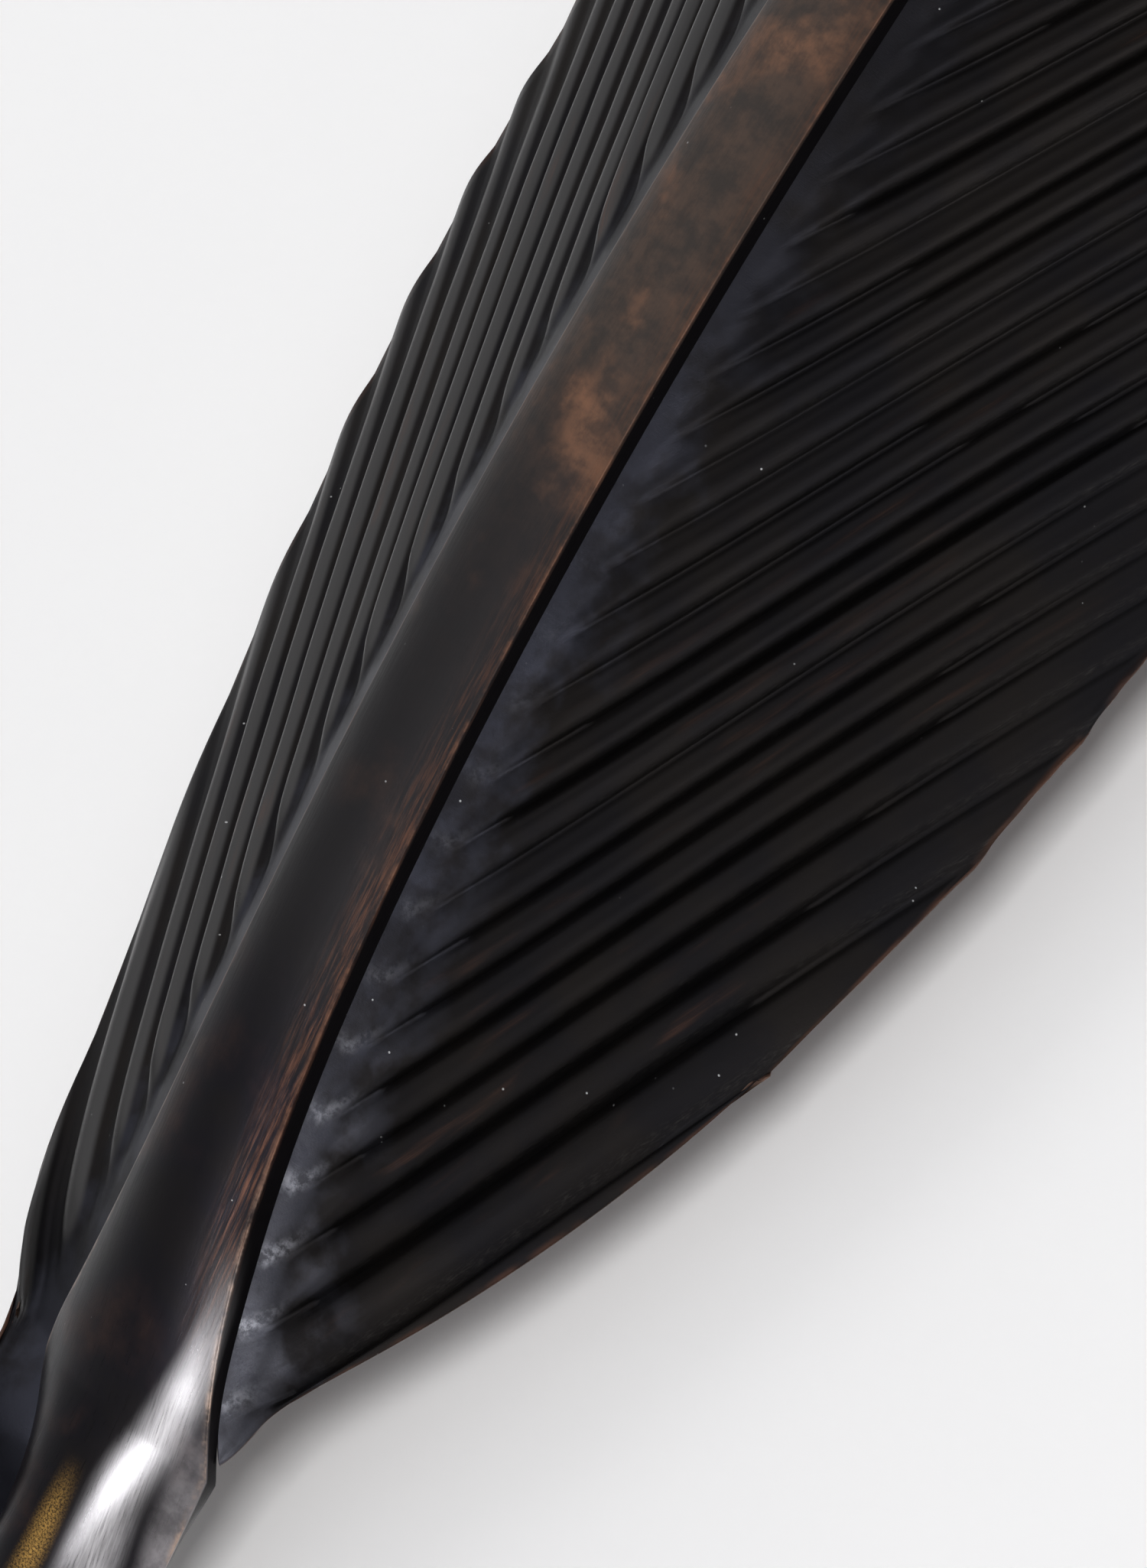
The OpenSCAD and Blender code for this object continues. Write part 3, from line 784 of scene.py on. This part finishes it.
def brass(name, tint, rough_low, rough_high, turned):
    """Turned metal: fine rings or brushing, clouded with age."""
    g = Graph(name)
    where = g.node("ShaderNodeTexCoord").outputs["Object"]
    parts = g.node("ShaderNodeSeparateXYZ")
    g.put(parts.inputs[0], where)
    x, y, z = parts.outputs
    clouds = g.noise(where, 60, 4, 0.6)
    around = g.vector(g.math("MULTIPLY", y, turned), g.math("MULTIPLY", x, 12), g.math("MULTIPLY", z, 12))
    rings = g.noise(around, 1, 3, 0.6)
    darker = tuple(0.45 * c for c in tint)
    colour = g.colour(g.span(clouds, 0.35, 0.7), tint, darker)
    colour = g.colour(g.span(rings, 0.4, 0.7, 0, 0.35), colour, darker)
    rough = g.span(clouds, 0.3, 0.7, rough_low, rough_high)
    normal = g.bump(rings, 0.15, 0.0004)
    return g.surface(base_color=colour, metallic=1.0, roughness=rough, normal=normal)


def dress(obj, material):
    obj.data.materials.clear()
    obj.data.materials.append(material)


# ---------------------------------------------------------------------------------------------
# The leaf's pieces
# ---------------------------------------------------------------------------------------------
leaf_pieces = [
    ("left_blade", "blade_patina", blade(LEFT, "left_blade_sheet"), blade_patina("left_patina", LEFT)),
    ("right_blade", "blade_patina", blade(RIGHT, "right_blade_sheet"), blade_patina("right_patina", RIGHT)),
    ("midrib", "midrib_patina", midrib("midrib_sheet"), midrib_patina("band_patina")),
]
for node, slot, obj, material in leaf_pieces:
    dress(obj, material)
    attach(obj, "leaf")
    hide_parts(node)

hardware = [
    ("backing_bar", "back_strip", brass("aged_copper_bar", (0.16, 0.085, 0.055), 0.4, 0.6, 20)),
    ("upper_saddle", "back_strip", brass("aged_copper_plate", (0.17, 0.09, 0.06), 0.4, 0.6, 20)),
    ("lower_saddle", "back_strip", None),
    ("upper_standoff", "fixing_brass", brass("brass_rod", (0.5, 0.33, 0.14), 0.22, 0.42, 2500)),
    ("lower_standoff", "fixing_brass", None),
    ("upper_flange", "fixing_brass", brass("brass_flange", (0.5, 0.33, 0.14), 0.25, 0.45, 300)),
    ("lower_flange", "fixing_brass", None),
    ("upper_set_screw", "set_screw_steel", brass("blackened_steel", (0.09, 0.09, 0.1), 0.35, 0.5, 900)),
    ("lower_set_screw", "set_screw_steel", None),
]
last_material = None
for node, slot, material in hardware:
    last_material = material or last_material
    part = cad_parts[node]
    dress(part, last_material)

# ---------------------------------------------------------------------------------------------
# Stage: a white wall that runs down into a pale floor, soft lights, and the camera
# ---------------------------------------------------------------------------------------------
def backdrop():
    """Wall, rounded corner and floor in one sheet, facing the camera side."""
    drop = 0.9
    corner = 0.3
    reach = 4.0
    floor_z = cad_low.z - drop
    wall_y = WALL_Y + 0.0005
    profile = [(wall_y, cad_high.z + reach), (wall_y, floor_z + corner)]
    for k in range(1, 16):
        a = math.pi / 2 * k / 16
        profile.append((wall_y - corner * (1 - math.cos(a)), floor_z + corner * (1 - math.sin(a))))
    profile.append((wall_y - corner, floor_z))
    profile.append((wall_y - reach, floor_z))
    points = [(side * reach, y, z) for y, z in profile for side in (-1, 1)]
    faces = [(2 * k, 2 * k + 2, 2 * k + 3, 2 * k + 1) for k in range(len(profile) - 1)]
    mesh = bpy.data.meshes.new("backdrop")
    mesh.from_pydata(points, [], faces)
    for polygon in mesh.polygons:
        polygon.use_smooth = True
    obj = bpy.data.objects.new("backdrop", mesh)
    bpy.context.scene.collection.objects.link(obj)
    return obj


def wall_paint():
    """White paint with a faint mottle. A camera behind it sees through it, by light that passes it."""
    g = Graph("wall_paint")
    where = g.node("ShaderNodeTexCoord").outputs["Object"]
    mottle = g.noise(where, 2.5, 3, 0.5)
    colour = g.colour(g.span(mottle, 0.3, 0.7), (0.83, 0.83, 0.84), (0.86, 0.86, 0.865))
    normal = g.bump(g.noise(where, 350, 3, 0.6), 0.04, 0.0005)
    material = g.surface(base_color=colour, roughness=0.75, normal=normal)
    out = next(n for n in g.tree.nodes if n.type == "OUTPUT_MATERIAL")
    paint = out.inputs["Surface"].links[0].from_socket
    path = g.node("ShaderNodeLightPath")
    back_face = g.node("ShaderNodeNewGeometry").outputs["Backfacing"]
    from_behind = g.math("MULTIPLY", back_face, path.outputs["Is Camera Ray"])
    behind = g.math("MAXIMUM", from_behind, path.outputs["Is Shadow Ray"])
    both = g.node("ShaderNodeMixShader")
    clear = g.node("ShaderNodeBsdfTransparent").outputs[0]
    g.put(both.inputs[0], behind)
    g.tree.links.new(paint, both.inputs[1])
    g.tree.links.new(clear, both.inputs[2])
    g.tree.links.new(both.outputs[0], out.inputs["Surface"])
    return material


wall = backdrop()
dress(wall, wall_paint())


def look_from(position, target, roll):
    """Matrix of a camera or lamp at position that looks at target, turned by roll about its view."""
    forward = (target - position).normalized()
    right = forward.cross(Vector((0, 0, 1))).normalized()
    up = right.cross(forward)
    side = right * math.cos(roll) + up * math.sin(roll)
    top = up * math.cos(roll) - right * math.sin(roll)
    columns = Matrix((side, top, -forward)).transposed().to_4x4()
    columns.translation = position
    return columns


def lamp(name, target, direction, distance, width, height, watts, colour, level=None):
    """A rectangular lamp that faces target from a direction. Its width runs along level, if that is given."""
    data = bpy.data.lights.new(name, "AREA")
    data.shape = "RECTANGLE"
    data.size = width
    data.size_y = height
    data.energy = watts
    data.color = colour
    obj = bpy.data.objects.new(name, data)
    bpy.context.scene.collection.objects.link(obj)
    toward = Vector(direction).normalized()
    side = (level or Vector((0, 0, 1)).cross(toward)).normalized()
    top = toward.cross(side).normalized()
    side = top.cross(toward)
    matrix = Matrix((side, top, toward)).transposed().to_4x4()
    matrix.translation = target + toward * distance
    obj.matrix_world = matrix
    return obj


def leaf_place(s, side, front):
    """A place beside the fold line at a station, in metres."""
    x, y, z = place(np.array([fold_x(s) + side, float(fold_y(np.array(s))) - front, fold_z(s)]))
    return Vector((x, y, z))


CAMERA_AZIMUTH = math.radians(37.7)
CAMERA_ELEVATION = math.radians(2.36)
CAMERA_ROLL = math.radians(33.7)
CAMERA_DISTANCE = 1.5
CAMERA_LENS = 145.2
AIM_STATION = 230.3
AIM_SIDE = 53.9
AIM_DEPTH = 100

aim = leaf_place(AIM_STATION, AIM_SIDE, 0)
aim.y = WALL_Y - AIM_DEPTH * UNIT
back = Vector((
    math.sin(CAMERA_AZIMUTH) * math.cos(CAMERA_ELEVATION),
    -math.cos(CAMERA_AZIMUTH) * math.cos(CAMERA_ELEVATION),
    math.sin(CAMERA_ELEVATION),
))
camera_data = bpy.data.cameras.new("camera")
camera_data.lens = CAMERA_LENS
camera_data.sensor_width = 36
camera_data.clip_start = 0.01
camera = bpy.data.objects.new("camera", camera_data)
bpy.context.scene.collection.objects.link(camera)
camera.matrix_world = look_from(aim + back * CAMERA_DISTANCE, aim, CAMERA_ROLL)
bpy.context.scene.camera = camera

image_right = camera.matrix_world.to_3x3().col[0]
image_up = camera.matrix_world.to_3x3().col[1]


def seen_from_camera(right, up):
    """A direction given by how far it lies to the right and above the camera, as sines."""
    return image_right * right + image_up * up + back * math.sqrt(1 - right * right - up * up)


key = lamp("key_light", aim, (0.42, -0.88, 0.1), 2.4, 0.7, 0.7, 34.5, (1.0, 0.985, 0.97))
key.visible_glossy = False
fill = lamp("left_fill", aim, (-0.75, -0.62, 0.2), 1.3, 0.9, 0.9, 3.4, (1.0, 0.99, 0.98))
fill.visible_glossy = False
COOL = (0.96, 0.975, 1.0)
glint = lamp("low_window", aim, seen_from_camera(-0.68, -0.24), 2.0, 0.5, 0.22, 8, COOL, image_right)
glint.visible_diffuse = False
low = lamp("right_window", aim, seen_from_camera(0.32, -0.42), 2.0, 1.1, 0.3, 12, COOL, image_right)
low.visible_diffuse = False

world = bpy.data.worlds.new("world")
world.use_nodes = True
sky = world.node_tree
background = next(n for n in sky.nodes if n.type == "BACKGROUND")
paths = sky.nodes.new("ShaderNodeLightPath")
direction = sky.nodes.new("ShaderNodeTexCoord")
toward = sky.nodes.new("ShaderNodeVectorMath")
toward.operation = "DOT_PRODUCT"
toward.inputs[1].default_value = seen_from_camera(-0.72, 0.62)
sky.links.new(direction.outputs["Generated"], toward.inputs[0])
reflected = sky.nodes.new("ShaderNodeMapRange")
reflected.interpolation_type = "SMOOTHSTEP"
reflected.inputs["From Min"].default_value = 0.3
reflected.inputs["From Max"].default_value = 1.0
reflected.inputs["To Min"].default_value = 0.1
reflected.inputs["To Max"].default_value = 1.1
sky.links.new(toward.outputs["Value"], reflected.inputs["Value"])
strength = sky.nodes.new("ShaderNodeMix")
sky.links.new(paths.outputs["Is Glossy Ray"], strength.inputs["Factor"])
strength.inputs["A"].default_value = 0.42
sky.links.new(reflected.outputs["Result"], strength.inputs["B"])
background.inputs["Color"].default_value = (0.97, 0.98, 1.0, 1)
sky.links.new(strength.outputs["Result"], background.inputs["Strength"])
bpy.context.scene.world = world
bpy.context.scene.view_settings.view_transform = "Standard"
